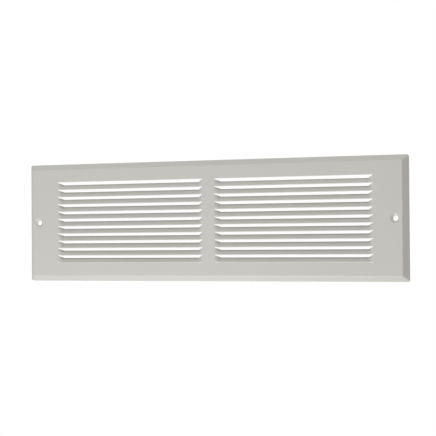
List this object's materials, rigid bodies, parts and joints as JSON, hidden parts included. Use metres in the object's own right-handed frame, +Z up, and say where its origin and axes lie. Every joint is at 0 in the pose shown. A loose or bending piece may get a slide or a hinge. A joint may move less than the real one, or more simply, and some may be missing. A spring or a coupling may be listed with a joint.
{
  "type": "exterior ventilation grille",
  "caption": "Wall vent cover pressed from one sheet: fixed slanting louvres on each side of a plain bar, a folded-back rim and countersunk screw holes.",
  "frame": {"origin": "the middle of the grille, in its length, its height and its depth; the wall's surface is 3.75 mm behind it, at Y = +0.00375", "axes": "+X along the plate, to the right as seen from the front; +Y into the wall; +Z up, with the blades' lower edges in front, so that they shed rain"},
  "size_m": [0.5016, 0.0074, 0.1476],
  "materials": {
    "enamelled_sheet": "satin warm light grey enamel on pressed steel sheet"
  },
  "bodies": {
    "root": {"grille": "enamelled_sheet"}
  },
  "joints": []
}
